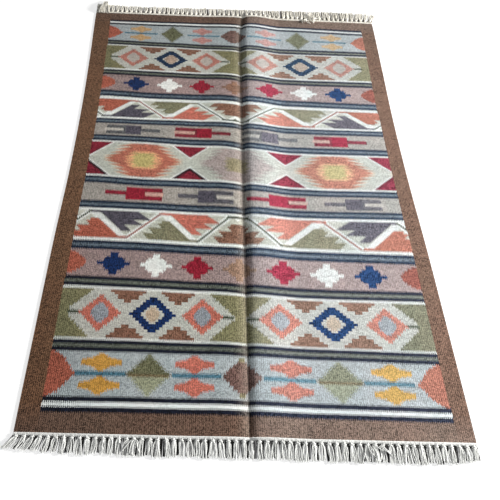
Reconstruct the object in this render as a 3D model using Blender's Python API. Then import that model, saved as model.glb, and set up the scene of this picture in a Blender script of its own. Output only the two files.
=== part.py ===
"""A dhurrie rug on the floor: one flat-woven cloth, creased along its middle where it was folded for
storage, with a knotted cotton fringe at each end. Metres, +Z up. X runs across the rug and Y along
it, with the near end at -Y. The origin is on the floor under the middle of the rug."""

import math
import random
from collections import namedtuple

import bmesh
import bpy

# The cloth is a four by six foot rug.
WIDTH = 1.220
LENGTH = 1.830
THICKNESS = 0.003
WEFT_SPACING = 0.0915  # between the rows of points that shape the cloth

# The fold crease is a sharp valley on the floor with a soft lip on each side of it.
VALLEY_NEAR, VALLEY_FAR = 0.008, 0.018  # where it meets the near and the far end, across the rug
LEFT_CREST, LEFT_FOOT = 0.045, 0.195  # from the valley to the lip's top, and to where it lies flat
RIGHT_CREST, RIGHT_FOOT = 0.042, 0.172
CREST_STEPS, FOOT_STEPS, FLAT_STEPS = 5, 8, 4  # columns of faces over each stretch of a side

# Sections across the rug at an even spacing, near end first: how far each side edge draws in, and
# how high each lip of the crease stands.
Section = namedtuple("Section", "left_in right_in left_lip right_lip")
SECTIONS = (
    Section(0.0000, 0.0000, 0.0045, 0.0075),
    Section(0.0030, 0.0010, 0.0050, 0.0090),
    Section(0.0065, 0.0030, 0.0060, 0.0125),
    Section(0.0140, 0.0085, 0.0070, 0.0140),
    Section(0.0145, 0.0085, 0.0070, 0.0140),
    Section(0.0080, 0.0015, 0.0065, 0.0145),
    Section(-0.0020, -0.0045, 0.0045, 0.0120),
)

# The fringe: a heading of twined cotton along each end, and one knotted lock of warps after another.
PARTING = 0.0003  # from the cloth's end to the heading
HEADING = 0.008  # the heading's width, along the rug
LOCKS = 60  # at each end
ROOT_SHARE = 0.55  # of the room for one lock that its root takes
LOCK_LENGTH = 0.050  # beyond the heading
LENGTH_SPREAD = 0.003
LEAN_SPREAD = 0.0015
LOCK_GAP = 0.0024  # least room between the tips of two neighbours
CORNER_REACH = 0.140  # how far in from a corner the locks lean out with it

# Stations along a lock: the share of its length, how far it has opened from the knot's half width to
# the tip's, its height, and the share of its root's lift that it still has.
Station = namedtuple("Station", "share opening height lift")
STATIONS = (
    Station(0.10, 0.00, 0.0060, 0.88),
    Station(0.32, 0.60, 0.0045, 0.45),
    Station(0.62, 0.90, 0.0034, 0.00),
    Station(1.00, 1.00, 0.0020, 0.00),
)
KNOT_HALF = 0.0045
TIP_HALF = 0.0085

# Each end's fringe: which way it points, how its corner locks lean and how long they are, and where
# the locks part, as a place across the rug and a width.
End = namedtuple("End", "name way left_lean right_lean left_length right_length partings seed")
ENDS = (
    End("fringe_near", -1, -0.023, 0.014, 0.034, 0.040, ((-0.185, 0.006), (-0.125, 0.005)), 11),
    End("fringe_far", 1, -0.020, 0.024, 0.056, 0.046, ((0.209, 0.008),), 12),
)

BROWN_WOOL = (0.135, 0.075, 0.042, 1.0)
ECRU_COTTON = (0.700, 0.660, 0.580, 1.0)


def section_at(y):
    """The section at y, on a smooth curve through the table's rows."""
    place = (y / LENGTH + 0.5) * (len(SECTIONS) - 1)
    row = min(max(int(place), 0), len(SECTIONS) - 2)
    t = place - row
    rows = (SECTIONS[min(max(row + k, 0), len(SECTIONS) - 1)] for k in (-1, 0, 1, 2))
    return Section(
        *(
            b + t / 2 * (c - a + t * (2 * a - 5 * b + 4 * c - d + t * (3 * (b - c) + d - a)))
            for a, b, c, d in zip(*rows)
        )
    )


def valley_x(y):
    """Where the crease runs at y."""
    return VALLEY_NEAR + (VALLEY_FAR - VALLEY_NEAR) * (y / LENGTH + 0.5)


def lip(distance, crest, foot, height):
    """A lip's height at a distance from the valley: a quick rise to its crest and a long soft fall."""
    if distance < crest:
        return height * math.sin(math.pi / 2 * distance / crest)
    if distance < foot:
        return height * (0.5 + 0.5 * math.cos(math.pi * (distance - crest) / (foot - crest)))
    return 0.0


def lift(x, y):
    """How high the cloth's underside is off the floor."""
    here, distance = section_at(y), x - valley_x(y)
    if distance < 0:
        return lip(-distance, LEFT_CREST, LEFT_FOOT, here.left_lip)
    return lip(distance, RIGHT_CREST, RIGHT_FOOT, here.right_lip)


def edges_at(y):
    """The left and right edges of the cloth at y."""
    here = section_at(y)
    return here.left_in - WIDTH / 2, WIDTH / 2 - here.right_in


def side_stops(crest, foot, edge):
    """Distances from the valley out to one edge, close together where the lip curves most."""
    stretches = ((0.0, crest, CREST_STEPS), (crest, foot, FOOT_STEPS), (foot, edge, FLAT_STEPS))
    stops = []
    for start, end, steps in stretches:
        stops += [start + (end - start) * step / steps for step in range(1, steps + 1)]
    return stops


def columns_at(y):
    """The places across the rug, left to right, of one row of the cloth's points."""
    left, right = edges_at(y)
    middle = valley_x(y)
    to_left = side_stops(LEFT_CREST, LEFT_FOOT, middle - left)
    to_right = side_stops(RIGHT_CREST, RIGHT_FOOT, right - middle)
    return [middle - d for d in reversed(to_left)] + [middle] + [middle + d for d in to_right]


def finish(name, color, roughness):
    """A plain dielectric finish."""
    material = bpy.data.materials.new(name)
    material.use_nodes = True
    shader = material.node_tree.nodes["Principled BSDF"]
    shader.inputs["Base Color"].default_value = color
    shader.inputs["Roughness"].default_value = roughness
    shader.inputs["Metallic"].default_value = 0.0
    return material


def add_object(name, bm, material):
    """The mesh as a named object with its material."""
    mesh = bpy.data.meshes.new(name)
    bm.to_mesh(mesh)
    bm.free()
    mesh.materials.append(material)
    thing = bpy.data.objects.new(name, mesh)
    bpy.context.scene.collection.objects.link(thing)
    return thing


def make_cloth(material):
    """The woven body: its underside as a net of points, given its thickness upwards."""
    bm = bmesh.new()
    rows = round(LENGTH / WEFT_SPACING)
    net = []
    for row in range(rows + 1):
        y = LENGTH * (row / rows - 0.5)
        net.append([bm.verts.new((x, y, lift(x, y))) for x in columns_at(y)])
    for near, far in zip(net, net[1:]):
        for k in range(len(near) - 1):
            bm.faces.new((near[k], near[k + 1], far[k + 1], far[k]))
    cloth = add_object("rug_cloth", bm, material)
    thick = cloth.modifiers.new("thickness", "SOLIDIFY")
    thick.thickness = THICKNESS
    thick.offset = 1.0
    thick.use_even_offset = True
    cloth.data.shade_smooth()
    cloth.data.set_sharp_from_angle(angle=math.radians(40))


def corner_share(x, left, right):
    """How much of the left and of the right corner's lean a lock at x has, from 1 down to 0."""
    to_left = max(0.0, 1 - (x - left) / CORNER_REACH)
    to_right = max(0.0, 1 - (right - x) / CORNER_REACH)
    return to_left**1.5, to_right**1.5


Lock = namedtuple("Lock", "root lean length tip_half")


def lay_locks(end):
    """Each lock's root, sideways lean, length and half width at its tip, from left to right."""
    draw = random.Random(end.seed)
    left, right = edges_at(end.way * LENGTH / 2)
    pitch = (right - left) / LOCKS
    laid = []
    for k in range(LOCKS):
        root = left + pitch * (k + 0.5)
        at_left, at_right = corner_share(root, left, right)
        lean = at_left * end.left_lean + at_right * end.right_lean
        for place, width in end.partings:
            lean += math.copysign(width / 2, root - place) * math.exp(-abs(root - place) / 0.030)
        lean += draw.uniform(-LEAN_SPREAD, LEAN_SPREAD)
        length = LOCK_LENGTH + draw.uniform(-LENGTH_SPREAD, LENGTH_SPREAD) * (1 - at_left - at_right)
        length += at_left * (end.left_length - LOCK_LENGTH)
        length += at_right * (end.right_length - LOCK_LENGTH)
        laid.append(Lock(root, lean, length, TIP_HALF))
    tips = [lock.root + lock.lean for lock in laid]
    room = [b - a for a, b in zip(tips, tips[1:])]
    room = [room[0]] + room + [room[-1]]
    return [
        lock._replace(tip_half=min(TIP_HALF, (min(room[k], room[k + 1]) - LOCK_GAP) / 2))
        for k, lock in enumerate(laid)
    ]


def ring(bm, corners):
    """Four points, in order round a section."""
    return [bm.verts.new(corner) for corner in corners]


def join_rings(bm, a, b, sides):
    """Faces between two rings, over the given sides."""
    for k in sides:
        bm.faces.new((a[k], a[(k + 1) % 4], b[(k + 1) % 4], b[k]))


def grow_lock(bm, root_ring, lock, end, front_y):
    """One lock: out of the heading, up over its knot, and down to lie open on the floor."""
    pitch_half = abs(root_ring[1].co.x - root_ring[0].co.x) / 2
    before = root_ring
    for station in STATIONS:
        half = KNOT_HALF + (lock.tip_half - KNOT_HALF) * station.opening
        middle = lock.root + lock.lean * station.share**1.2
        y = front_y + end.way * lock.length * station.share
        floor_left = lift(lock.root - pitch_half, front_y) * station.lift
        floor_right = lift(lock.root + pitch_half, front_y) * station.lift
        after = ring(
            bm,
            (
                (middle - half, y, floor_left),
                (middle + half, y, floor_right),
                (middle + half, y, floor_right + station.height),
                (middle - half, y, floor_left + station.height),
            ),
        )
        join_rings(bm, before, after, range(4))
        before = after
    bm.faces.new(before)


def make_fringe(end, material):
    """The heading strip with every lock of one end fused to it by its root."""
    bm = bmesh.new()
    edge_y = end.way * LENGTH / 2
    back_y = edge_y + end.way * PARTING
    front_y = back_y + end.way * HEADING
    locks = lay_locks(end)
    left, right = edges_at(edge_y)
    root_half = (right - left) / LOCKS * ROOT_SHARE / 2
    stops = [left]
    for lock in locks:
        stops += [lock.root - root_half, lock.root + root_half]
    stops.append(right)
    heading = []
    for x in stops:
        low = lift(x, edge_y)
        high = low + THICKNESS
        corners = ((x, back_y, low), (x, front_y, low), (x, front_y, high), (x, back_y, high))
        heading.append(ring(bm, corners))
    under, front, over, back = range(4)
    for k, (a, b) in enumerate(zip(heading, heading[1:])):
        join_rings(bm, a, b, (under, over, back) if k % 2 else (under, front, over, back))
    bm.faces.new(heading[0])
    bm.faces.new(heading[-1])
    for k, lock in enumerate(locks):
        a, b = heading[2 * k + 1], heading[2 * k + 2]
        grow_lock(bm, [a[1], b[1], b[2], a[2]], lock, end, front_y)
    bmesh.ops.recalc_face_normals(bm, faces=bm.faces)
    add_object(end.name, bm, material)


for thing in list(bpy.data.objects):
    bpy.data.objects.remove(thing, do_unlink=True)

make_cloth(finish("woven_wool", BROWN_WOOL, 0.92))
cotton = finish("fringe_cotton", ECRU_COTTON, 0.88)
for end in ENDS:
    make_fringe(end, cotton if end.way < 0 else cotton.copy())
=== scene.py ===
"""The looks of a dhurrie rug that lies on the floor with its fold crease still in it: a flat-woven
wool cloth on cotton warps, and the knotted warp ends that make its fringe."""

import math
import random
from collections import namedtuple

import bpy
import numpy as np
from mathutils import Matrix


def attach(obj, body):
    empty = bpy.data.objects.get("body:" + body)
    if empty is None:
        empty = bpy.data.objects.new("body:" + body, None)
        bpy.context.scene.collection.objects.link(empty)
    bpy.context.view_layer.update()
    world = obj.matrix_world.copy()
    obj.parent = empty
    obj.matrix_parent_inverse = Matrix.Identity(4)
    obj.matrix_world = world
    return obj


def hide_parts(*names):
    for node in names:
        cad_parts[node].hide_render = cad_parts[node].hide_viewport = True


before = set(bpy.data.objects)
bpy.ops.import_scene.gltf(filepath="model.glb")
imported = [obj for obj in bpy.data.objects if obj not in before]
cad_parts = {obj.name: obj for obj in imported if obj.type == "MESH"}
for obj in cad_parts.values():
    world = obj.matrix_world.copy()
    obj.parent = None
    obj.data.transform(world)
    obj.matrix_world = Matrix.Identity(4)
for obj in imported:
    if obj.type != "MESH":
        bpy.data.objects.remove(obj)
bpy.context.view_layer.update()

# The studio. A camera at the photograph's place above the rug's near end, a plain pale floor, and
# soft light that comes mostly from the right, so that the right wall of the crease lies in shade.
CAMERA_AT = (-0.1677, -1.3287, 1.4974)
CAMERA_TURN = (33.776, -2.155, 0.770)  # degrees
CAMERA_LENS, CAMERA_SENSOR = 40.46, 36.0
CAMERA_SHIFT = 0.0944
CAMERA_REACH = 50.0
FLOOR_SIZE = 30.0
FLOOR_DROP = 0.0006  # the floor lies a hair under the rug
FLOOR_FINISH = {
    "Base Color": (0.82, 0.82, 0.815, 1.0),
    "Roughness": 0.9,
    "Specular IOR Level": 0.1,
    "Emission Color": (1.0, 1.0, 1.0, 1.0),
    "Emission Strength": 0.56,
}
SKY_COLOR, SKY_GLOW = (0.97, 0.98, 1.0, 1.0), 0.22

bpy.ops.object.camera_add(location=CAMERA_AT, rotation=[math.radians(a) for a in CAMERA_TURN])
camera = bpy.context.object
camera.data.lens = CAMERA_LENS
camera.data.sensor_width = CAMERA_SENSOR
camera.data.shift_x = CAMERA_SHIFT
camera.data.clip_end = CAMERA_REACH
bpy.context.scene.camera = camera

bpy.ops.mesh.primitive_plane_add(size=FLOOR_SIZE, location=(0.0, 0.0, -FLOOR_DROP))
floor = bpy.context.object
floor.name = "studio_floor"
paint = bpy.data.materials.new("studio_floor")
paint.use_nodes = True
for name, value in FLOOR_FINISH.items():
    paint.node_tree.nodes["Principled BSDF"].inputs[name].default_value = value
floor.data.materials.append(paint)

Lamp = namedtuple("Lamp", "name place aim width watts color")
LAMPS = (
    Lamp("window", (4.75, 0.2, 1.46), (0.0, 0.05, 0.0), 1.0, 560.0, (1.0, 0.985, 0.96)),
    Lamp("ceiling", (-0.6, -0.2, 3.2), (0.0, 0.0, 0.0), 2.6, 12.0, (0.96, 0.98, 1.0)),
)
for row in LAMPS:
    bpy.ops.object.light_add(type="AREA", location=row.place)
    lamp = bpy.context.object
    lamp.name = row.name
    lamp.data.shape = "SQUARE"
    lamp.data.size = row.width
    lamp.data.energy = row.watts
    lamp.data.color = row.color
    away = lamp.location - type(lamp.location)(row.aim)
    lamp.rotation_euler = away.to_track_quat("Z", "Y").to_euler()

world = bpy.data.worlds.new("studio")
world.use_nodes = True
sky = world.node_tree.nodes["Background"]
sky.inputs["Color"].default_value = SKY_COLOR
sky.inputs["Strength"].default_value = SKY_GLOW
bpy.context.scene.world = world
bpy.context.scene.view_settings.view_transform = "Standard"

# The cloth's lie. It is one flat-woven piece, four by six feet, 3 mm thick. It draws in at the waist,
# and it keeps a sharp lengthwise valley from being folded, with a soft lip on each side.
WIDTH, LENGTH = 1.220, 1.830
THICKNESS = 0.003
VALLEY_NEAR, VALLEY_FAR = 0.007, 0.024  # where it meets the near and the far end
BEND_FROM, FAR_BEND = 0.76, 0.012  # the crease turns right where it comes to the far end
# From the valley to each lip's top, and to where it lies flat, and how steeply the lip rises.
LEFT_CREST, LEFT_FOOT, LEFT_STEEP = 0.045, 0.195, 2.4
RIGHT_CREST, RIGHT_FOOT, RIGHT_STEEP = 0.042, 0.172, 3.0

# Sections across the rug at an even spacing, near end first: how far each side edge draws in, and how
# high each lip of the crease stands.
Section = namedtuple("Section", "left_in right_in left_lip right_lip")
SECTIONS = (
    Section(0.0000, 0.0000, 0.0045, 0.0075),
    Section(0.0030, 0.0010, 0.0050, 0.0090),
    Section(0.0065, 0.0030, 0.0060, 0.0125),
    Section(0.0140, 0.0085, 0.0070, 0.0140),
    Section(0.0145, 0.0085, 0.0070, 0.0140),
    Section(0.0080, 0.0015, 0.0065, 0.0145),
    Section(-0.0020, -0.0045, 0.0045, 0.0120),
)


def section_at(y):
    """The section at y, on a smooth curve through the table's rows."""
    place = (y / LENGTH + 0.5) * (len(SECTIONS) - 1)
    row = min(max(int(place), 0), len(SECTIONS) - 2)
    t = place - row
    rows = (SECTIONS[min(max(row + k, 0), len(SECTIONS) - 1)] for k in (-1, 0, 1, 2))
    return Section(
        *(
            b + t / 2 * (c - a + t * (2 * a - 5 * b + 4 * c - d + t * (3 * (b - c) + d - a)))
            for a, b, c, d in zip(*rows)
        )
    )


def valley_x(y):
    """Where the crease runs at y."""
    bend = min(max((y - BEND_FROM) / (LENGTH / 2 - BEND_FROM), 0.0), 1.0)
    return VALLEY_NEAR + (VALLEY_FAR - VALLEY_NEAR) * (y / LENGTH + 0.5) + FAR_BEND * bend


def lip(distance, crest, foot, height, steep):
    """A lip's height at a distance from the valley: a quick rise to its top and a long soft fall."""
    if distance < crest:
        return height * (1 - (1 - distance / crest) ** steep)
    if distance < foot:
        return height * (0.5 + 0.5 * math.cos(math.pi * (distance - crest) / (foot - crest)))
    return 0.0


def lift(x, y):
    """How high the cloth's underside is off the floor."""
    here, distance = section_at(y), x - valley_x(y)
    if distance < 0:
        return lip(-distance, LEFT_CREST, LEFT_FOOT, here.left_lip, LEFT_STEEP)
    return lip(distance, RIGHT_CREST, RIGHT_FOOT, here.right_lip, RIGHT_STEEP)


# The weaver's measures in mm: the distance of a line from its cut end in the even drawing, where it
# came out on the near and on the far half of the real rug, which is beaten up tighter there, and how
# many rows of the cloth's mesh lie between it and the next line.
Beat = namedtuple("Beat", "drawn near far rows")
BEATS = (
    Beat(0.0, 0.0, 0.0, 3),
    Beat(54.0, 58.0, 49.0, 2),
    Beat(88.5, 98.0, 79.0, 6),
    Beat(213.0, 231.0, 195.0, 2),
    Beat(249.0, 270.0, 228.0, 8),
    Beat(413.0, 441.0, 384.0, 2),
    Beat(446.0, 477.0, 417.0, 5),
    Beat(544.0, 578.0, 509.0, 2),
    Beat(574.0, 611.0, 541.0, 6),
    Beat(701.0, 744.0, 659.0, 2),
    Beat(730.0, 774.0, 686.0, 4),
    Beat(800.0, 846.0, 755.0, 2),
    Beat(829.0, 874.0, 784.0, 4),
    Beat(915.0, 960.5, 869.5, 0),
)
# How far the weft lines wander towards the near end, in mm, at places across the rug: the weaver's
# rows bow, and they step at the crease. Each row is one line of the drawing, from the far end, with
# the half of the rug that it is on and its distance from that half's cut end.
PLACES = (-0.50, -0.34, -0.22, -0.05, 0.08, 0.30, 0.50)
Wander = namedtuple("Wander", "half end left left_2 left_3 left_4 right_3 right_2 right")
WANDERS = (
    Wander(1, 0.0, 0, 0, 0, 0, 0, 0, 0),
    Wander(1, 71.5, 0, 0, -3, -2, 0, 2, 9),
    Wander(1, 228.5, -7, -2, -1, 9, 12, 12, 10),
    Wander(1, 431.0, -9, -5, -2, 2, 14, 16, 13),
    Wander(1, 559.0, -7, 2, 1, 3, 14, 17, 20),
    Wander(1, 716.0, 0, 1, -1, 4, 17, 20, 18),
    Wander(1, 815.0, -11, -8, -1, 4, 21, 22, 20),
    Wander(-1, 815.0, -10, 0, -1, 5, 18, 23, 19),
    Wander(-1, 716.0, 0, 2, 5, 11, 15, 14, 10),
    Wander(-1, 559.0, -1, 1, 5, 13, 16, 20, 21),
    Wander(-1, 431.0, -1, 3, 6, 12, 21, 24, 23),
    Wander(-1, 228.5, 0, 0, 1, 3, 8, 10, 13),
    Wander(-1, 71.5, 2, 0, 0, 0, 3, 5, 7),
    Wander(-1, 0.0, 0, 0, 0, 0, 0, 0, 0),
)
PULL, PULL_REACH = 0.010, 0.22  # the middle warps are pulled left, towards the crease's soft side
EDGE_HOLD = 0.1  # the pull dies away over this distance from an edge


def wander(u, v):
    """How far nearer than straight the weft at (u, v) lies, in metres."""
    lines = np.array([row.half * (LENGTH / 2 - row.end / 1000) for row in reversed(WANDERS)])
    at_lines = np.array([np.interp(u, PLACES, row[2:]) for row in reversed(WANDERS)])
    below = np.clip(np.searchsorted(lines, v) - 1, 0, len(lines) - 2)
    share = np.clip((v - lines[below]) / (lines[below + 1] - lines[below]), 0, 1)
    points = np.arange(len(u))
    return (at_lines[below, points] * (1 - share) + at_lines[below + 1, points] * share) / 1000


def lay(u, v):
    """Where the point (u, v) of the even rug lies on the floor, as arrays in metres."""
    drawn, near, far = (np.array(column) / 1000 for column in list(zip(*BEATS))[:3])
    end = LENGTH / 2 - np.abs(v)
    y_near = np.interp(end, drawn, near) - LENGTH / 2
    y_far = LENGTH / 2 - np.interp(end, drawn, far)
    y = np.where(v < 0, y_near, y_far)
    y = np.where(np.abs(v) < 1e-9, (y_near + y_far) / 2, y) - wander(u, v)
    sections = [section_at(value) for value in y]
    left_in = np.array([s.left_in for s in sections])
    right_in = np.array([s.right_in for s in sections])
    half = WIDTH / 2
    x = u * (1 - np.where(u < 0, left_in, right_in) / half)
    freedom = np.clip((half - np.abs(u)) / EDGE_HOLD, 0, 1)
    x = x - PULL * np.exp(-((u / PULL_REACH) ** 2)) * freedom
    return x, y


# The woven cloth. The weaver packs wool wefts down on stiff cotton warps, which show as ribs along
# the rug. The sheet is a grid of warps and picks, laid in its folds and then given its thickness.
COLUMNS = 436  # every warp has a column, so ribs stand on alternate ones
WARP = WIDTH * 1000 / COLUMNS  # mm from one warp to the next
RIB = 0.00022  # half the height of a rib
SELVEDGE = 0.006  # the doubled edge warps


def deselect():
    """Leaves nothing selected."""
    for thing in bpy.context.selected_objects:
        thing.select_set(False)


deselect()
near_rows = [0.0]
for beat, after in zip(BEATS, BEATS[1:]):
    stretch = after.drawn - beat.drawn
    near_rows += [(beat.drawn + stretch * row / beat.rows) / 1000 for row in range(1, beat.rows + 1)]
row_places = [end - LENGTH / 2 for end in near_rows]
row_places += [LENGTH / 2 - end for end in reversed(near_rows[:-1])]
ROWS = len(row_places) - 1
bpy.ops.mesh.primitive_grid_add(
    x_subdivisions=COLUMNS, y_subdivisions=ROWS, size=2.0, calc_uvs=False
)
cloth = bpy.context.object
cloth.name = "rug_cloth_woven"
points = np.zeros(len(cloth.data.vertices) * 3)
cloth.data.vertices.foreach_get("co", points)
points = points.reshape(-1, 3)
even_u = points[:, 0] * WIDTH / 2
row_number = np.round((points[:, 1] + 1) / 2 * ROWS).astype(int)
even_v = np.array(row_places)[row_number]
lie_x, lie_y = lay(even_u, even_v)
lie_z = np.array([lift(x, y) for x, y in zip(lie_x, lie_y)])
warp_number = np.round((points[:, 0] + 1) / 2 * COLUMNS)
ribs = np.where(warp_number % 2 < 0.5, RIB, -RIB)
selvedge = np.clip(1 - (WIDTH / 2 - np.abs(even_u)) / SELVEDGE, 0, 1)
lie_z += RIB + ribs * (1 - selvedge)
cloth.data.vertices.foreach_set("co", np.stack([lie_x, lie_y, lie_z], 1).ravel())
weave_map = cloth.data.uv_layers.new(name="weave")
corners = np.zeros(len(cloth.data.loops), np.int32)
cloth.data.loops.foreach_get("vertex_index", corners)
flat_places = np.stack([even_u[corners], even_v[corners]], 1).astype(np.float32)
weave_map.uv.foreach_set("vector", flat_places.ravel())

# The dyed wool. Each colour is judged on the rug's left half, which lies in softer light, and every
# band's drawing is arithmetic on the place in the weave.
LEFT_LIGHT = 0.80  # how bright a white piece of the left half is


class Yarn:
    """A value or colour that varies over the cloth: a node's output, with arithmetic on it."""

    def __init__(self, socket):
        self.socket = socket

    def math(self, operation, *others):
        values = [self.socket, *(getattr(o, "socket", o) for o in others)]
        return add_node(self.socket.id_data, "ShaderNodeMath", {"operation": operation}, values)

    def __add__(self, other):
        return self.math("ADD", other)

    __radd__ = __add__

    def __sub__(self, other):
        return self.math("SUBTRACT", other)

    def __rsub__(self, other):
        return self.math("MULTIPLY_ADD", -1.0, other)

    def __mul__(self, other):
        return self.math("MULTIPLY", other)

    __rmul__ = __and__ = __mul__

    def __truediv__(self, other):
        return self.math("DIVIDE", other)

    def __rtruediv__(self, other):
        return self.math("POWER", -1.0) * other

    def __lt__(self, other):
        return self.math("LESS_THAN", other)

    def __gt__(self, other):
        return self.math("GREATER_THAN", other)

    def __or__(self, other):
        return self.math("MAXIMUM", other)

    def __abs__(self):
        return self.math("ABSOLUTE")

    def __floor__(self):
        return self.math("FLOOR")

    def share(self):
        """The value held between 0 and 1."""
        return self.math("MINIMUM", 1.0).math("MAXIMUM", 0.0)


def add_node(tree, kind, settings=None, values=(), output=0):
    """One node of a material: its settings first, such as the stops of a ramp with sharp steps, and
    then the values or links of its sockets."""
    node = tree.nodes.new(kind)
    for name, value in (settings or {}).items():
        if name != "stops":
            setattr(node, name, value)
            continue
        node.color_ramp.interpolation = "CONSTANT"
        marks = node.color_ramp.elements
        while len(marks) < len(value):
            marks.new(1.0)
        for mark, (place, color) in zip(marks, value):
            mark.position = place
            mark.color = color
    for key, value in values.items() if isinstance(values, dict) else enumerate(values):
        socket = next((s for s in node.inputs if s.identifier == key), None) or node.inputs[key]
        value = getattr(value, "socket", value)
        if isinstance(value, bpy.types.NodeSocket):
            tree.links.new(value, socket)
        else:
            socket.default_value = value
    return Yarn(node.outputs[output])


def dye(red, green, blue):
    """A colour as it is read off the shaded left half, 0 to 255, made the wool's own linear one."""
    return (*(((c / 255 + 0.055) / 1.055) ** 2.4 / LEFT_LIGHT for c in (red, green, blue)), 1.0)


def over(ground, mask, color):
    """A colour woven over another where the mask is 1."""
    values = {"Factor_Float": mask, "A_Color": ground, "B_Color": color}
    return add_node(mask.socket.id_data, "ShaderNodeMix", {"data_type": "RGBA"}, values, 2)


def tinted(color, tint, share=1.0):
    """A colour multiplied by a tint, as far as the share says."""
    settings = {"data_type": "RGBA", "blend_type": "MULTIPLY"}
    values = {"Factor_Float": share, "A_Color": color, "B_Color": tint}
    return add_node(color.socket.id_data, "ShaderNodeMix", settings, values, 2)


def axis(place, number):
    """One coordinate of a place: 0 is across the rug and 1 along it."""
    return add_node(place.socket.id_data, "ShaderNodeSeparateXYZ", {}, [place], number)


def cloud(place, scales, detail, roughness=0.5):
    """Soft uneven patches, drawn out by a scale for each axis."""
    tree = place.socket.id_data
    spot = add_node(tree, "ShaderNodeVectorMath", {"operation": "MULTIPLY"}, [place, scales])
    inputs = {"Vector": spot, "Scale": 1.0, "Detail": detail, "Roughness": roughness}
    return add_node(tree, "ShaderNodeTexNoise", {}, inputs)


def dress(material, color, relief, finish):
    """Gives a material its colour, a bump with the relief's values, and its finish."""
    tree = material.node_tree
    shader = tree.nodes["Principled BSDF"]
    for name, value in finish.items():
        shader.inputs[name].default_value = value
    normal = add_node(tree, "ShaderNodeBump", {}, relief)
    tree.links.new(color.socket, shader.inputs["Base Color"])
    tree.links.new(normal.socket, shader.inputs["Normal"])


def steps(distance, chart):
    """The chart's half width at a distance: each row holds where a step starts and its half width."""
    span = chart[-1][0] * 1.25
    widest = max(width for _, width in chart)
    stops = [(start / span, (width / widest,) * 3 + (1.0,)) for start, width in chart]
    place = distance / span
    return add_node(place.socket.id_data, "ShaderNodeValToRGB", {"stops": stops}, [place]) * widest


def to_nearest(place, spots):
    """How far a place is from the nearer of two spots."""
    first, second = spots
    return abs(place - first).math("MINIMUM", abs(place - second))


def one_of(number, colors):
    """The color with that number, counting from 0."""
    stops = [(k / len(colors), color) for k, color in enumerate(colors)]
    place = (number + 0.5) / len(colors)
    return add_node(place.socket.id_data, "ShaderNodeValToRGB", {"stops": stops}, [place])


# Sizes of the drawing in mm. Across and along are from the rug's middle.
HALF_LENGTH = LENGTH * 500
PICK = 2.6  # a few wefts beaten together
STRAY = 1.2  # how far a colour's edge strays
TOOTH = 4.4  # how much further a colour reaches on every second warp
FIELD_LEFT, FIELD_RIGHT = -547.5, 557.0  # the inner edges of the side borders
FIELD_TAPER = 4.5 / HALF_LENGTH  # each edge comes in by this towards the far end
END_BORDER = 52.0  # the width of the plain end
CORNER_FADE = 85.0  # how far from the cut end the side borders keep the end's brown in part
CREASE_AT, CREASE_SLANT = 26.0, 0.0093  # where the crease runs in the weave

# Painted light and shade. From the crease on, the half to the right is painted paler, the dark
# colours most, as painted light. The crease's left lip gets a painted highlight, and the fold a
# line of painted shade. The left side, above all at its near corner, and the far end are darkened
# by painted shade.
LIT_POWER, LIT_GAIN, LIT_RAMP = 0.70, (0.905, 0.937, 0.970, 1.0), 21.0
LIP_HIGHLIGHT, LIP_HIGHLIGHT_REACH = 0.17, 40.0
FOLD_SHADE, FOLD_SHADE_HALF = 0.28, 5.0
SHADE_LEFT, SHADE_CORNER, SHADE_FAR = 0.12, 0.20, 0.18
WORN_TINT = (1.12, 0.96, 0.94, 1.0)
HIGHLIGHT_DYE = dye(200, 186, 170)
FOLD_SHADE_DYE = dye(20, 17, 16)

# How strongly each unevenness of the wool shows, and the painted shade between the ribs.
ABRASH = 0.50  # streaks of uneven dye along the picks
WORN = 0.25  # broad patches of wear
FLECK = 0.60  # fibres of another shade
STITCH = 1.20  # single turns of the weft over a warp
BEAD = 0.15  # the same two warps wide
TURN = 0.24  # over and under, warp by warp
GROOVE_SHADE = 0.45  # between the ribs

# The dyes of the borders and the stripes.
BROWN = dye(97, 77, 65)
LEFT_EDGE = dye(104, 77, 57)
RIGHT_EDGE = dye(88, 62, 48)
INK = dye(17, 21, 34)
MIDNIGHT = dye(20, 31, 48)
WHITE = dye(212, 218, 214)
SNOW = dye(220, 228, 226)
MID_GREEN = dye(92, 98, 88)
MID_BLUE = dye(88, 102, 112)

# Plain stripes between the bands, from the cut end: where each starts and stops, and its colour.
Stripe = namedtuple("Stripe", "start stop color")
STRIPES = (
    Stripe(52.0, 90.0, INK),
    Stripe(65.5, 77.0, SNOW),
    Stripe(212.0, 245.0, INK),
    Stripe(224.0, 233.0, MID_GREEN),
    Stripe(245.0, 251.0, WHITE),
    Stripe(407.0, 415.0, WHITE),
    Stripe(415.0, 447.0, INK),
    Stripe(426.5, 435.5, MID_GREEN),
    Stripe(543.0, 575.0, MIDNIGHT),
    Stripe(554.5, 563.5, MID_BLUE),
    Stripe(575.0, 584.0, WHITE),
    Stripe(696.0, 701.0, WHITE),
    Stripe(701.0, 731.0, MIDNIGHT),
    Stripe(711.5, 720.0, MID_BLUE),
    Stripe(799.0, 830.0, MIDNIGHT),
    Stripe(810.0, 819.0, MID_BLUE),
    Stripe(830.0, 837.0, WHITE),
)


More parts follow.
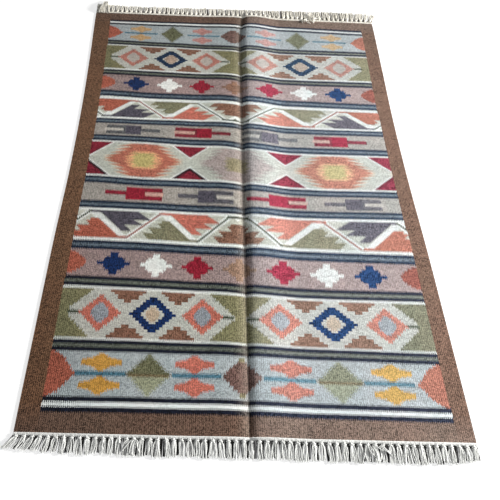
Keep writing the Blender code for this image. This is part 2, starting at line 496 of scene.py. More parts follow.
class Loom:
    """The places that a band's drawing is made from, in mm: how far across the rug, from its middle
    and in whole warps; how far from the cut end; and which half of the rug it is on."""

    strung = []  # every loom so far, from the cut end

    def __init__(self, name, start, stop):
        Loom.strung.append(self)
        self.start, self.stop = start, stop
        self.material = bpy.data.materials.new(name)
        self.material.use_nodes = True
        self.tree = self.material.node_tree
        self.place = add_node(self.tree, "ShaderNodeUVMap", {"uv_map": "weave"})
        across, along = axis(self.place, 0) * 1000, axis(self.place, 1) * 1000
        self.plain_across, self.plain_along = across, along
        pick = math.floor(along / PICK)
        across = across + (self.scatter(pick, 3.7) - 0.5) * STRAY
        warp = math.floor(across / WARP)
        self.odd = warp.math("FLOORED_MODULO", 2.0)
        self.across = (warp + 0.5) * WARP
        self.along = along + (self.odd - 0.5) * TOOTH + (self.scatter(warp, 8.3) - 0.5) * STRAY
        self.far = self.along > 0.0
        self.from_end = HALF_LENGTH - abs(self.along)
        self.middle = abs(self.across)
        self.from_left = self.across - along * FIELD_TAPER - FIELD_LEFT
        self.from_right = FIELD_RIGHT - along * FIELD_TAPER - self.across

    def from_side(self):
        """How far in from the nearer side border."""
        return self.from_left.math("MINIMUM", self.from_right)

    def scatter(self, number, other):
        """A random share for each whole number."""
        noise = {"noise_dimensions": "2D"}
        spot = add_node(self.tree, "ShaderNodeCombineXYZ", {}, [number, other, 0.0])
        return add_node(self.tree, "ShaderNodeTexWhiteNoise", noise, {"Vector": spot})

    def weave(self, color):
        """The plain stripes on each side of the band, the side borders, and the wool itself."""
        for stripe in STRIPES:
            if stripe.stop > self.start and stripe.start < self.stop:
                inside = (self.from_end > stripe.start) & (self.from_end < stripe.stop)
                color = over(color, inside, stripe.color)
        left_edge, right_edge = LEFT_EDGE, RIGHT_EDGE
        if self.start < END_BORDER:  # at the corners the sides turn brown by degrees
            color = over(color, self.from_end < END_BORDER, BROWN)
            share = (self.from_end / CORNER_FADE).math("MAXIMUM", 0.0)
            left_edge, right_edge = over(BROWN, share, LEFT_EDGE), over(BROWN, share, RIGHT_EDGE)
        color = over(color, self.from_left < 0.0, left_edge)
        color = over(color, self.from_right < 0.0, right_edge)
        self.wool(color)

    def wool(self, color):
        """Painted light and shade, wear, uneven dye, flecks of light and dark fibre, and the ribs
        over the warps.
        """
        across, along = self.plain_across, self.plain_along
        abrash = cloud(self.place, (3.0, 55.0, 1.0), 2.0, 0.6)
        fleck = cloud(self.place, (300.0, 330.0, 1.0), 2.0, 0.6)
        worn = cloud(self.place, (9.0, 4.0, 1.0), 3.0, 0.6)

        # The weave: wefts pass over and under the warps, and pairs of warps stand as ribs.
        row = math.floor(along / PICK)
        stitch = self.scatter(math.floor(across / WARP), row)
        bead = self.scatter(math.floor(across / (2 * WARP)), row + 0.5)
        over_warp = abs(self.odd - row.math("FLOORED_MODULO", 2.0))
        rib = (across / (2 * WARP) + 0.25).math("FRACT")
        groove = (abs(rib - 0.5) * 2).math("POWER", 2.0)

        # Painted light and shade, and wear, by the distance to the right of the crease.
        past_crease = across - along * CREASE_SLANT - CREASE_AT
        bend = ((along / 1000 - BEND_FROM) / (LENGTH / 2 - BEND_FROM)).math("MAXIMUM", 0.0)
        past_crease = past_crease - bend * FAR_BEND * 1000
        # Painted light: from the crease on, the right half is painted paler, the dark colours most.
        painted_light = (past_crease / LIT_RAMP - 0.15).share()
        brightened = add_node(self.tree, "ShaderNodeGamma", {}, [color, LIT_POWER])
        color = over(color, painted_light, tinted(brightened, LIT_GAIN))
        color = tinted(color, WORN_TINT, (worn - 0.35) * 1.2)
        # A painted highlight on the crease's left lip, in a pale colour.
        lit_lip = (past_crease / LIP_HIGHLIGHT_REACH + 1.20).share()
        lit_lip = lit_lip * lit_lip * (past_crease < 1.0) * LIP_HIGHLIGHT
        color = over(color, lit_lip, HIGHLIGHT_DYE)
        # Painted shade: a dark line along the fold.
        folded = (1.0 - abs(past_crease - 2.0) / FOLD_SHADE_HALF).math("MAXIMUM", 0.0)
        color = over(color, folded * FOLD_SHADE, FOLD_SHADE_DYE)

        # Light and dark: the grain, which shows most on dark wool, with painted shade in the grooves
        # between the ribs, and painted shade over the left side and the far end.
        lightness = add_node(self.tree, "ShaderNodeRGBToBW", {}, [color])
        depth = 0.42 / (lightness + 0.25)
        grain = (fleck - 0.5) * FLECK + (stitch - 0.5) * STITCH + (bead - 0.5) * BEAD
        # Painted shade darkens the grooves between the ribs.
        grain = grain + (over_warp - 0.5) * TURN + (0.33 - groove) * GROOVE_SHADE
        shade = 1.0 + (abrash - 0.5) * ABRASH + (worn - 0.5) * WORN + grain * depth
        # Painted shade: the left side, most of all at its near corner, and the far end are painted
        # darker.
        leftward = (-0.25 - across / 480).share()
        nearward = (along / -HALF_LENGTH).math("MAXIMUM", 0.0)
        farward = ((along - 300) / 600).math("MAXIMUM", 0.0)
        painted_dim = leftward * (nearward * SHADE_CORNER + SHADE_LEFT)
        shade = shade * (1 - painted_dim) * (1 - farward * SHADE_FAR)
        height = (1 - groove) + over_warp * 0.4 + fleck * 0.6
        relief = {"Strength": 0.7, "Distance": 0.0005, "Height": height}
        finish = {"Roughness": 0.95, "Specular IOR Level": 0.15, "Sheen Weight": 0.05}
        dress(self.material, tinted(color, shade), relief, finish)


# The two ends: plain brown wool from the heading to the navy and white guard stripes, which close
# the field of bands.
band = Loom("wool_end_border", -10.0, 71.0)
band.weave(BROWN)

# Band 1, next to the border: stars in pairs along a teal line, between green and plum diamonds, with
# half diamonds at the sides.
BLUE_GREY = dye(155, 165, 167)
TEAL = dye(70, 108, 124)
DEEP_LEAF = dye(92, 94, 70)
PALE_LEAF = dye(137, 144, 119)
BRONZE = dye(96, 84, 60)
PLUM = dye(98, 76, 70)
MOSS = dye(114, 112, 82)
CORAL = dye(175, 102, 87)
GOLD = dye(188, 142, 66)
ORANGE = dye(157, 88, 70)
STARS_MIDDLE = 151.0  # from the cut end
LINE_AT, LINE_REACH, LINE_HALF = (130.0, 404.0), 72.0, 6.5
GREEN_AT, CORAL_AT, GOLD_AT = 269.0, 136.0, 410.0  # across, from the rug's middle
STAR_OFF = 31.5  # from the band's middle to a star's
band = Loom("wool_band_of_stars", 71.0, 228.0)
y = band.from_end - STARS_MIDDLE
high = abs(y)
near = 1 - band.far
size = 1 - band.far * 0.22  # the far band is worked smaller, and its dyes have run
line = (high < LINE_HALF * size) & (to_nearest(band.middle, LINE_AT) < LINE_REACH)
color = over(BLUE_GREY, line, TEAL)
chart = ((0, 64), (5, 58), (10, 48), (18, 40), (26, 32), (34, 24), (42, 14), (50, 8), (57, 0))
saw = ((high + 6.0) / 8.0).math("FRACT") * 9.0 - 5.0
green = abs(band.middle - GREEN_AT) < (steps(high, chart) * size + saw)
color = over(color, green, DEEP_LEAF)
pale = 0.35 + (y < -6.0) * (0.65 - (band.across > 0.0) * 0.15)
color = over(color, green * near * pale * ((y < -6.0) | (band.across > 0.0)), PALE_LEAF)
color = over(color, green & near & (abs(y + 3.0) < 3.5), BRONZE)
plum = steps(high, ((0, 52), (8, 46), (16, 36), (26, 26), (36, 14), (44, 0)))
color = over(color, band.middle < plum, PLUM)
color = over(color, (band.middle < 8.0) & (abs(high - 50.0) < 6.0) & near, MOSS)
star_high = abs(high - STAR_OFF)
star = steps(star_high, ((0, 57), (8, 42), (11, 25), (15, 17), (20, 9), (25, 0))) * size
color = over(color, (abs(band.middle - CORAL_AT) < star) * (1 - band.far * 0.30), CORAL)
color = over(color, (abs(abs(band.across - 5.0) - GOLD_AT) < star) * (1 - band.far * 0.28), GOLD)
chart = ((0, 76), (6, 68), (13, 61), (22, 54), (32, 46), (42, 36), (50, 24), (57, 12), (62, 0))
color = over(color, band.from_side() < (steps(high / size, chart) * size), ORANGE)
band.weave(color)

# Band 2: ring diamonds on cream, stepped pyramids between them, and stepped green fields. All its
# steps have one width and one height.
CREAM = dye(173, 176, 168)
FERN = dye(98, 99, 77)
BOTTLE = dye(66, 74, 60)
CHESTNUT = dye(116, 84, 68)
WORN_CORAL = dye(163, 110, 98)
SKY = dye(132, 140, 146)
PEARL = dye(164, 158, 150)
NAVY = dye(14, 38, 80)
WORN_NAVY = dye(20, 40, 64)
BEIGE = dye(172, 156, 134)
CLAY = dye(158, 140, 124)
RINGS_MIDDLE = 329.5
STEP_WIDE, STEP_HIGH = 9.4, 8.8
CORAL_RINGS, NAVY_RING, PYRAMIDS = (116.0, 429.0), 270.0, (193.0, 349.0)
CORAL_HALF, NAVY_HALF, NAVY_TOP = 63.0, 70.0, 57.0
band = Loom("wool_band_of_rings", 228.0, 431.0)
high = abs(band.from_end - RINGS_MIDDLE)
even = abs(HALF_LENGTH - abs(band.plain_along) - RINGS_MIDDLE)
coral_x = to_nearest(band.middle, CORAL_RINGS)
navy_x = abs(band.middle - NAVY_RING)
field_step = math.floor(high / STEP_HIGH) * STEP_WIDE
field = ((530.0 - band.middle) - field_step) < 0.0
field = field | (band.middle > 521.0) | ((band.middle - field_step) < 18.0)
color = over(CREAM, field, MOSS)
color = over(color, field & (band.across > 300.0) & (1 - band.far), FERN)
dash = (high < 5.0) & ((abs(band.middle - 504.0) < 22.0) | (abs(band.middle - 40.0) < 20.0))
color = over(color, dash, BOTTLE)
pyramid = steps(80.0 - even, ((0, 54), (12, 43), (19, 32), (34, 11), (45, 0)))
color = over(color, to_nearest(band.middle, PYRAMIDS) < pyramid, CHESTNUT)
coral = (coral_x + math.floor((high + STEP_HIGH / 2) / STEP_HIGH) * STEP_WIDE) < CORAL_HALF
color = over(color, coral, CORAL)
color = over(color, coral & band.far, WORN_CORAL)
core = coral_x < steps(high, ((0, 27), (10, 22), (17, 16), (25, 8), (32, 0)))
color = over(color, core, SKY)
color = over(color, core & band.far, PEARL)
navy = (navy_x + math.floor((even + STEP_HIGH / 2) / STEP_HIGH) * STEP_WIDE) < NAVY_HALF
navy = navy & (even < NAVY_TOP)
color = over(color, navy, NAVY)
color = over(color, navy & band.far, WORN_NAVY)
color = over(color, navy_x < steps(even, ((0, 36), (6, 28), (14, 19), (22, 10), (30, 0))), CREAM)
core = navy_x < steps(high, ((0, 20), (8, 17), (15, 11), (24, 0)))
core = core | (band.far & (navy_x < steps(even, ((0, 30), (6, 25), (13, 17), (21, 9), (28, 0)))))
color = over(color, core, BEIGE)
color = over(color, core & band.far, CLAY)
band.weave(color)

# Band 3: a row of stepped stars on mauve, one colour after another, with half ones at the sides. In
# the far half the middle star, on the crease, is darker.
MAUVE = dye(141, 124, 121)
CRIMSON = dye(130, 27, 44)
TAN = dye(134, 108, 90)
BRICK = dye(122, 60, 50)
CROSSES_MIDDLE = 495.0
STAR_PITCH = 135.5
band = Loom("wool_band_of_crosses", 431.0, 559.0)
high = abs(band.from_end - CROSSES_MIDDLE)
number = math.floor(band.across / STAR_PITCH + 0.5)
star_x = abs(band.across - number * STAR_PITCH)
star = steps(high, ((0, 52), (6, 34), (17, 26), (24, 12), (40, 0)))
star_colors = (NAVY, WHITE, CRIMSON, TAN, CRIMSON, WHITE, NAVY)
color = over(MAUVE, (star_x < star) & (abs(number) < 3.5), one_of(number + 3.0, star_colors))
color = over(color, (star_x < star) * (abs(number) < 0.5) * band.far * 0.7, CHESTNUT)
half = band.from_side() < steps(high, ((0, 54), (9, 49), (17, 41), (25, 30), (33, 17), (39, 0)))
color = over(color, half, ORANGE)
color = over(color, half & (band.across > 0.0), BRICK)
band.weave(color)

# Band 4: a running wave of serrated leaves, in pairs that fit into each other head to tail, with a
# slanting line after each pair.
POCKET = dye(176, 180, 168)
SLATE = dye(72, 70, 80)
LEAF = dye(113, 112, 88)
RUSSET = dye(136, 90, 80)
LEAVES_FROM = 584.0
LEAF_TOP, LEAF_FOOT = 108.0, 10.0  # along, from there
LEAF_PITCH = 240.0
SLANT_HALF, OUTLINE_HALF = 4.6, 15.0  # the slanting line's, and its white outline's
SLOPE = 1.18  # how far across a slant goes for each mm along
band = Loom("wool_band_of_leaves", 559.0, 715.0)
e = band.from_end - LEAVES_FROM
e = e + (LEAF_TOP - e) * (0.075 - band.far * 0.045)  # the leaves reach close to the stripe below them


def tooth(w, e, low, high, tip, lean):
    """One saw tooth on a leaf's side: it reaches from its tip, and leans away from it."""
    return (e > low) & (e < high) & ((w - tip) > (e - low) * lean)


def from_pair(across, first):
    """Which pair of leaves a place belongs to, counted from the crease, and how far into it."""
    pair = math.floor((across - first) / LEAF_PITCH)
    return pair, across - pair * LEAF_PITCH


# The leaves lie further out in the far half, and the more so the further right of the crease.
drift = (band.middle - 130.0).math("MAXIMUM", 0.0) * (band.across > 0.0) * (1 - band.far * 0.7)
outward = band.middle - band.far * 18.0 - drift * 0.10
line_pair, w = from_pair(band.middle - band.far * 14.0 - drift * 0.06, 10.0)
off_line = abs(w - (107.0 - e) * SLOPE - 25.0)
head_pair, head = from_pair(outward, 50.0)
tail_pair, tail = from_pair(outward, 100.0)
slant = (tail - 168.0) - (e - 21.0) * SLOPE + (tail_pair < -0.5) * 18.0
outline = (off_line < OUTLINE_HALF) | (abs(slant + 8.0) < 17.0) | (e > 106.0) | (e < LEAF_FOOT)
color = over(POCKET, outline, WHITE)
head_leaf = tooth(head, e, 77.0, LEAF_TOP, 60.0, 1.5) | tooth(head, e, 58.0, 77.0, 84.0, 1.8)
head_leaf = head_leaf | tooth(head, e, 36.0, 58.0, 122.0, 1.2)
head_leaf = head_leaf & ((head - 162.0) < (e - 41.0) * SLOPE)
head_leaf = head_leaf | ((head > 232.0) & (head < 275.0) & (e > 100.0) & (e < LEAF_TOP))
head_color = one_of(head_pair + 1.0, (BOTTLE, CORAL, SLATE))
color = over(color, head_leaf & (band.middle < 530.0), head_color)
saw = -1.0 * tail
tail_leaf = tooth(saw, e, LEAF_FOOT, 33.0, -304.0, -0.95) | tooth(saw, e, 33.0, 53.0, -290.0, -0.9)
tail_leaf = tail_leaf | tooth(saw, e, 53.0, 70.0, -262.0, -1.0)
tail_leaf = (tail_leaf | tooth(saw, e, 70.0, 79.0, -264.0, 0.0)) & (slant > 0.0)
tail_leaf = tail_leaf | ((tail < 180.0) & (tail > 134.0) & (e > LEAF_FOOT) & (e < 18.0))
color = over(color, tail_leaf, one_of(tail_pair + 1.0, (CHESTNUT, LEAF, ORANGE)))
line = (off_line < SLANT_HALF) & (e > LEAF_FOOT) & (e < LEAF_TOP)
color = over(color, line, one_of(line_pair, (BOTTLE, RUSSET, BOTTLE)))
band.weave(color)

# Band 5: combs, each a handle, a block and two prongs, turned the other way in the far half. A comb's
# row holds where its handle starts in each half, how long it is in the far one, and its colours.
GREY = dye(146, 143, 136)
WINE = dye(98, 36, 46)
ROSE = dye(180, 146, 134)
SMOKE = dye(84, 87, 88)
ASH = dye(172, 170, 162)
COMBS_MIDDLE = 765.0
COMB_END = 193.0  # from the handle's start
HANDLE_HALF, BLOCK_HALF, GAP_HALF = 8.5, 25.5, 7.5
Comb = namedtuple("Comb", "near far far_end color prongs gap")
COMBS = (
    Comb(-463.0, -480.0, 193.0, CRIMSON, WINE, ROSE),
    Comb(-207.0, -222.0, 200.0, SLATE, SMOKE, ASH),
    Comb(40.0, 26.0, 211.0, CRIMSON, WINE, ROSE),
    Comb(300.0, 302.0, 200.0, SLATE, SMOKE, ASH),
)
band = Loom("wool_band_of_combs", 715.0, 815.0)
high = abs(band.from_end - COMBS_MIDDLE)
turned = band.across * (1 - band.far * 2)
color = GREY
for comb in COMBS:
    x = turned - comb.near - band.far * (comb.far - comb.near)
    handle = (x > -6.0) & (x < 68.0) & (high < HANDLE_HALF)
    end = COMB_END + band.far * (comb.far_end - COMB_END)
    block = (x > 66.0) & (x < end) & (high < BLOCK_HALF)
    color = over(color, handle | block, comb.color)
    thin = (handle | (block & (x > 126.0))) * (0.35 + band.far * 0.45)
    color = over(color, thin, comb.prongs)
    color = over(color, (x > 134.0) & (x < (end + 4.0)) & (high < GAP_HALF), comb.gap)
band.weave(color)

# Band 6, the middle one: saw-edged medallions with a light ring and a core, crimson triangles
# between them, and pale outlines.
PALE = dye(171, 176, 166)
GARNET = dye(112, 30, 44)
CLARET = dye(46, 20, 27)
PEACH = dye(196, 170, 140)
HAZE = dye(150, 140, 136)
EMBER = dye(160, 97, 80)
AMBER = dye(200, 150, 112)
LIME = dye(172, 160, 104)
OLIVE = dye(130, 124, 98)
MEDALLION_PITCH = 349.0
MEDALLION_TOP, RING_TOP, CORE_TOP = 75.0, 40.0, 32.0  # from the rug's middle
TIER = 17.0  # from one row of a medallion's spikes to the next
WHITE_FROM = 837.0  # where the stripe beside the band ends
band = Loom("wool_band_of_medallions", 815.0, 930.0)
high = HALF_LENGTH - band.from_end
beside = (band.middle + MEDALLION_PITCH / 2).math("FLOORED_MODULO", MEDALLION_PITCH)
x = abs(beside - MEDALLION_PITCH / 2)
central = band.middle < MEDALLION_PITCH / 2
from_white = band.from_end - WHITE_FROM
between = abs(band.middle - MEDALLION_PITCH / 2) * 0.82 + from_white
corner = band.from_side() * 0.84 + from_white
triangle = between.math("MINIMUM", corner - 12.0)
color = over(PALE, triangle < 60.0, WHITE)
color = over(color, triangle < 54.0, GARNET)
shadow = (abs(triangle - 47.0) < 7.0) * (1 - band.far) * (1 - (band.across > 0.0) * 0.6)
color = over(color, shadow, CLARET)
flame = 1 - ((high + 8.0) / TIER).math("FRACT")
reach = steps(high, ((0, 108), (9, 80), (26, 60), (43, 44), (60, 34), (75, 0))) + flame * 62.0
ring = steps(high, ((0, 50), (9, 42), (26, 30), (40, 0)))
core = steps(high, ((0, 30), (9, 26), (22, 20), (32, 0)))
color = over(color, (x < (reach + 9.0)) & (high < MEDALLION_TOP) & (1 - central), PEACH)
color = over(color, x < reach, HAZE)
color = over(color, (x < reach) & (1 - central), EMBER)
color = over(color, (x < (ring + flame * 34.0)) & (high < RING_TOP) & (1 - central), AMBER)
inside = (x < (core + flame * 24.0)) & (high < CORE_TOP)
color = over(color, inside, LIME)
color = over(color, inside & central, OLIVE)
band.weave(color)

# The finished cloth. Each band's rows of it take their wool, and the sheet gets its thickness and
# lies in place of the plain solid one.
for loom in Loom.strung:
    cloth.data.materials.append(loom.material)
middles = even_v[corners].reshape(-1, 4).mean(1)  # of the faces, which have four corners each
ends_at = (LENGTH / 2 - np.abs(middles)) * 1000
numbers = np.searchsorted([loom.stop for loom in Loom.strung], ends_at)
cloth.data.polygons.foreach_set("material_index", numbers.astype(np.int32))

thick = cloth.modifiers.new("thickness", "SOLIDIFY")
thick.thickness = THICKNESS - 2 * RIB
thick.offset = 1.0
bpy.context.view_layer.objects.active = cloth
bpy.ops.object.modifier_apply(modifier="thickness")
bpy.ops.object.shade_smooth_by_angle(angle=math.radians(50))
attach(cloth, "root")
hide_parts("rug_cloth")

# The fringe. At each end the cotton warps are twined into a heading, knotted in locks, and cut. The
# upper yarns of a lock splay from its knot, and loose lower warps lie between the locks; their dark
# colour is painted shade.
PARTING = 0.0003  # from the cloth's end to the heading
HEADING = 0.008
LOCKS = 60  # at each end
ROOT_SHARE = 0.55  # of the room for one lock that its root takes
LENGTH_SPREAD = 0.0025
LEAN_SPREAD = 0.0022
LOCK_GAP = 0.0024  # least room between the tips of two neighbours
CORNER_REACH = 0.140  # how far in from a corner the locks lean with it
PUSH_REACH = 0.030  # how far from a parting its push is felt
TIP_HALF = 0.0085
LIFT_AT_KNOT = 0.88  # share of its root's lift that a lock still has there
KNOT_AT = 0.10  # share of a lock's length
KNOT_HALF = 0.0036  # half the width of the yarns in it
KNOT_HIGH, KNOT_RISE, KNOT_OUT, KNOT_SKEW = 0.0042, 0.0022, 0.0014, 0.006  # the ring round them
TWINE_AT = 0.58  # share of the heading's width
TWINE_TURN, TWINE_STOPS = 0.0068, 6  # a turn's length along the heading, and its points
TWINE_HIGH, TWINE_RISE, TWINE_SWING = 0.0031, 0.0007, 0.0027
UPPER_YARNS, LOOSE_YARNS = 7, 6  # in a lock
LOOSE_BACK = 0.002  # how far back into the heading the loose yarns start
YARN_THICK, LOOSE_THICK, KNOT_THICK, CORD_THICK = 0.0013, 0.0016, 0.0020, 0.0024  # radii
TWISTS = 330.0  # to the metre
# The share of its root's lift that a yarn still has, at shares of its length.
UPPER_DROP = ((-0.2, 1.0), (KNOT_AT, LIFT_AT_KNOT), (0.32, 0.45), (0.62, 0.0), (1.2, 0.0))
LOOSE_DROP = ((0.0, 1.0), (0.12, 0.85), (0.35, 0.4), (0.62, 0.0), (1.0, 0.0))

# Each end's fringe: the way it points, how its corner locks lean, the locks' lengths at and beside
# the left corner and beside and at the right one, where they part and how widely, its cotton, the
# painted shade between its plies, and its lower warps' dark colour, which is painted shade.
End = namedtuple("End", "name way left_lean right_lean lengths partings seed cotton groove soil")
ENDS = (
    End(
        name="fringe_near",
        way=-1,
        left_lean=-0.031,
        right_lean=-0.003,
        lengths=(0.034, 0.045, 0.051, 0.040),
        partings=(
            (-0.427, 0.004),
            (-0.386, 0.004),
            (-0.274, 0.006),
            (-0.224, 0.013),
            (-0.102, 0.006),
            (0.163, 0.009),
            (0.376, 0.005),
            (0.549, 0.008),
        ),
        seed=11,
        cotton=dye(222, 223, 220),
        groove=dye(140, 142, 142),
        soil=dye(40, 40, 38),
    ),
    End(
        name="fringe_far",
        way=1,
        left_lean=0.000,
        right_lean=0.024,
        lengths=(0.056, 0.046, 0.066, 0.060),
        partings=((0.209, 0.008), (-0.400, 0.005), (-0.120, 0.005), (0.470, 0.005)),
        seed=12,
        cotton=dye(226, 223, 213),
        groove=dye(160, 150, 136),
        soil=dye(64, 51, 40),
    ),
)
Lock = namedtuple("Lock", "root lifted pitch lean pushed length tip_half")
# Tufts that have come loose: where one starts, which way it heads in radians, how far its strands
# spread and curl, and how low and high they run.
Tuft = namedtuple("Tuft", "end x y heading spread curl width length low high strands")
TUFTS = (
    Tuft("fringe_far", -0.578, 0.914, 1.50, 0.60, 0.3, 0.054, 0.084, 0.0045, 0.0170, 26),
    Tuft("fringe_far", 0.335, 0.920, -0.6, 5.5, 3.0, 0.046, 0.030, 0.0052, 0.0080, 20),
    Tuft("fringe_far", 0.345, 0.930, 2.1, 1.6, 2.2, 0.050, 0.040, 0.0060, 0.0090, 14),
    Tuft("fringe_near", -0.300, -0.932, 4.2, 1.2, 1.6, 0.030, 0.034, 0.0060, 0.0080, 6),
    Tuft("fringe_near", 0.330, -0.930, 5.2, 1.6, 1.8, 0.044, 0.036, 0.0060, 0.0080, 8),
)


def edges_at(y):
    """The left and right edges of the cloth at y."""
    here = section_at(y)
    return here.left_in - WIDTH / 2, WIDTH / 2 - here.right_in


def corner_share(x, left, right):
    """How much of the left and of the right corner's lean a lock at x has, from 1 down to 0."""
    to_left = max(0.0, 1 - (x - left) / CORNER_REACH)
    to_right = max(0.0, 1 - (right - x) / CORNER_REACH)
    return to_left**1.5, to_right**1.5


def lay_locks(end):
    """Each lock's root, with its lift and room, and its lean, length and tip, from left to right."""
    draw = random.Random(end.seed)
    edge_y = end.way * LENGTH / 2
    left, right = edges_at(edge_y)
    pitch = (right - left) / LOCKS
    laid = []
    for k in range(LOCKS):
        root = left + pitch * (k + 0.5)
        at_left, at_right = corner_share(root, left, right)
        lean = at_left * end.left_lean + at_right * end.right_lean
        lean += draw.uniform(-LEAN_SPREAD, LEAN_SPREAD)
        pushed = 0.0
        for place, width in end.partings:
            off = root - place
            pushed += math.copysign(width / 2, off) * math.exp(-abs(off) / PUSH_REACH)
        bends = (left, left + CORNER_REACH, right - CORNER_REACH, right)
        length = float(np.interp(root, bends, end.lengths))
        length += draw.uniform(-LENGTH_SPREAD, LENGTH_SPREAD)
        laid.append(Lock(root, lift(root, edge_y), pitch, lean, pushed, length, TIP_HALF))
    tips = [lock.root + lock.lean + lock.pushed for lock in laid]
    room = [b - a for a, b in zip(tips, tips[1:])]
    room = [room[0]] + room + [room[-1]]
    return [
        lock._replace(tip_half=min(TIP_HALF, (min(room[k], room[k + 1]) - LOCK_GAP) / 2))
        for k, lock in enumerate(laid)
    ]


def lock_middle(lock, share):
    """Where a lock's middle lies across the rug: it leans little by little, but parts at once."""
    share = max(share, 0.0)
    return lock.root + lock.lean * share**1.2 + lock.pushed * min(share / 0.3, 1.0)


def add_yarn(curve, route, thick, finish):
    """One yarn along a route of points, in one of the fringe's finishes."""
    yarn = curve.splines.new("POLY")
    yarn.points.add(len(route) - 1)
    for point, place in zip(yarn.points, route):
        point.co = (*place, 1.0)
        point.radius = thick / YARN_THICK
    yarn.material_index = finish
    yarn.use_smooth = True


def blend_stops(stops, share):
    """The value at a share along a yarn, smoothly between the stops."""
    for (a, low), (b, high) in zip(stops, stops[1:]):
        if share <= b:
            t = max(0.0, (share - a) / (b - a))
            return low + (high - low) * t * t * (3 - 2 * t)
    return stops[-1][1]


def grow_upper_yarns(curve, lock, end, front_y, draw):
    """A lock's upper yarns: from the heading through the knot, and splayed down to the floor."""
    root_half = lock.pitch * ROOT_SHARE / 2
    wide = lock.tip_half
    throat = (KNOT_AT, KNOT_HALF - 0.001)
    open_to = ((-0.2, root_half), throat, (0.27, wide * 0.9), (0.5, wide * 1.06), (1.2, wide * 0.96))
    order = list(range(UPPER_YARNS))
    draw.shuffle(order)
    for number, place in enumerate(order):
        side = (place + 0.5) / UPPER_YARNS * 2 - 1
        layer = number % 3
        reach = 1.0 + draw.uniform(-0.06, 0.04)
        sway, phase = draw.uniform(0.0005, 0.0024), draw.uniform(0, 6.28)
        cross = draw.uniform(-0.5, 0.5)
        heights = (
            (-0.2, 0.0024 + 0.0006 * layer),
            (KNOT_AT, 0.0036 + 0.0011 * layer),
            (0.30, 0.0046 + 0.0009 * layer),
            (0.80, 0.0043 + 0.0005 * layer),
            (1.0, 0.0038),
        )
        route = []
        for share in (-0.12, -0.02, 0.06, 0.13, 0.24, 0.38, 0.54, 0.70, 0.85, 1.0):
            along = share * reach if share > 0 else share
            half = blend_stops(open_to, share)
            spread = side + cross * max(0.0, share - 0.2)
            wave = sway * math.sin(phase + share * 7.0) * max(share, 0.0)
            x = lock_middle(lock, share) + spread * half + wave
            y = front_y + end.way * lock.length * along
            z = lock.lifted * blend_stops(UPPER_DROP, share) + blend_stops(heights, share)
            route.append((x, y, z))
        add_yarn(curve, route, YARN_THICK * draw.uniform(0.88, 1.12), 0)


def grow_loose_yarns(curve, lock, end, front_y, draw):
    """The loose lower warps under a lock and in the gap beside it."""
    for number in range(LOOSE_YARNS):
        start = lock.root + lock.pitch * ((number + 0.5) / LOOSE_YARNS - 0.5)
        tip = start + lock.lean + draw.uniform(-0.003, 0.003)
        reach = lock.length * draw.uniform(0.93, 1.0)
        route = []
        for share in (0.0, 0.12, 0.3, 0.5, 0.75, 1.0):
            x = start + (tip - start) * share**1.2
            y = front_y + end.way * (reach * share - LOOSE_BACK)
            route.append((x, y, lock.lifted * blend_stops(LOOSE_DROP, share) + LOOSE_THICK))
        add_yarn(curve, route, LOOSE_THICK, 1)


def tie_knot(curve, lock, end, front_y, draw):
    """The turn of yarn that closes a lock: a ring round its throat, a little askew."""
    y = front_y + end.way * lock.length * KNOT_AT
    lifted = lock.lifted * LIFT_AT_KNOT
    tilt = draw.uniform(-0.25, 0.25)
    route = []
    for turn in range(9):
        angle = turn / 8 * 2 * math.pi
        side, up = math.cos(angle), math.sin(angle)
        x = lock_middle(lock, KNOT_AT) + side * (KNOT_HALF + KNOT_OUT)
        route.append((x, y + side * tilt * KNOT_SKEW, lifted + KNOT_HIGH + up * KNOT_RISE))
    add_yarn(curve, route, KNOT_THICK, 0)


def twine_heading(curve, end, back_y):
    """The heading: two cords twined across the whole end, over the fold's lips."""
    edge_y = end.way * LENGTH / 2
    left, right = edges_at(edge_y)
    stops = round((right - left) / TWINE_TURN * TWINE_STOPS)
    for ply in (0.0, math.pi):
        route = []
        for stop in range(stops + 1):
            x = left + YARN_THICK + (right - left - 2 * YARN_THICK) * stop / stops
            angle = stop / TWINE_STOPS * 2 * math.pi + ply
            y = back_y + end.way * (HEADING * TWINE_AT + TWINE_SWING * math.cos(angle))
            route.append((x, y, lift(x, edge_y) + TWINE_HIGH + TWINE_RISE * math.sin(angle)))
        add_yarn(curve, route, CORD_THICK, 0)


def lay_tuft(curve, tuft, draw):
    """A tuft of loose warps that curls over the rug's edge."""
    for number in range(tuft.strands):
        share = (number + 0.5) / tuft.strands - 0.5
        heading = tuft.heading + share * tuft.spread + draw.uniform(-0.1, 0.1) * tuft.curl
        curl = draw.uniform(-tuft.curl, tuft.curl)
        length = tuft.length * draw.uniform(0.75, 1.1)
        x, y = tuft.x + share * tuft.width, tuft.y + draw.uniform(-0.003, 0.003)
        route = []
        for step in range(9):
            part = step / 8
            z = tuft.low + (tuft.high - tuft.low) * math.sin(math.pi * min(part * 1.1, 1.0)) ** 0.8
            route.append((x, y, z + 0.0008 * (number % 4)))
            x += math.cos(heading + curl * part) * length / 8
            y += math.sin(heading + curl * part) * length / 8
        add_yarn(curve, route, YARN_THICK * draw.uniform(0.9, 1.1), 0)


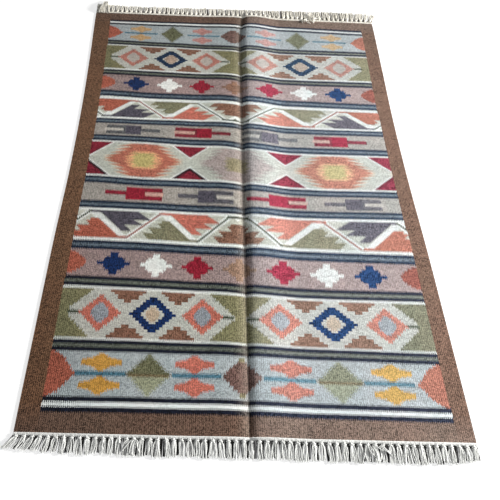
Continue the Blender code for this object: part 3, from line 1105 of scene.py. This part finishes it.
def spin_cotton(name, ply_color, groove_shade):
    """Plied cotton yarn: a light twist with painted shade between the plies, uneven in shade and
    fuzzy.
    """
    material = bpy.data.materials.new(name)
    material.use_nodes = True
    place = add_node(material.node_tree, "ShaderNodeTexCoord", {}, output=3)
    soil = cloud(place, (9.0, 9.0, 9.0), 3.0)
    streak = cloud(place, (420.0, 26.0, 300.0), 2.0)
    fuzz = cloud(place, (1500.0, 1500.0, 1500.0), 2.0)
    x, y = axis(place, 0), axis(place, 1)
    turns = x * TWISTS + y * TWISTS + fuzz * 0.4
    twist = (abs(turns.math("FRACT") - 0.5) * 2).math("POWER", 3.0)
    # Painted shade: the grooves between the plies take the darker groove colour.
    color = over(ply_color, twist * 0.55, groove_shade)
    # Painted light: the yarns are painted lighter towards the right side.
    shade = (streak - 0.5) * 0.9 + (soil - 0.5) * 0.35 + 1.0 + x * 0.12
    relief = {"Strength": 0.6, "Distance": 0.0004, "Height": (1 - twist) + fuzz * 0.5}
    finish = {"Roughness": 0.9, "Specular IOR Level": 0.2, "Sheen Weight": 0.15}
    dress(material, tinted(color, shade), relief, finish)
    return material


for end in ENDS:
    back_y = end.way * (LENGTH / 2 + PARTING)
    front_y = back_y + end.way * HEADING
    deselect()
    bpy.ops.curve.primitive_nurbs_path_add(location=(0.0, 0.0, 0.0))
    fringe = bpy.context.object
    fringe.name = end.name + "_yarns"
    strands = fringe.data
    strands.splines.clear()
    strands.bevel_depth = YARN_THICK
    strands.bevel_resolution = 1
    strands.use_fill_caps = True
    strands.materials.append(spin_cotton(end.name + "_cotton", end.cotton, end.groove))
    # The lower warps' dark colour is painted shade for the gaps between the locks.
    strands.materials.append(spin_cotton(end.name + "_soiled", end.soil, end.soil))
    twine_heading(strands, end, back_y)
    draw = random.Random(end.seed + 100)
    for lock in lay_locks(end):
        grow_upper_yarns(strands, lock, end, front_y, draw)
        tie_knot(strands, lock, end, front_y, draw)
        grow_loose_yarns(strands, lock, end, front_y, draw)
    for tuft in TUFTS:
        if tuft.end == end.name:
            lay_tuft(strands, tuft, draw)
    bpy.ops.object.convert(target="MESH")
    fringe = bpy.context.object
    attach(fringe, "root")
    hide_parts(end.name)
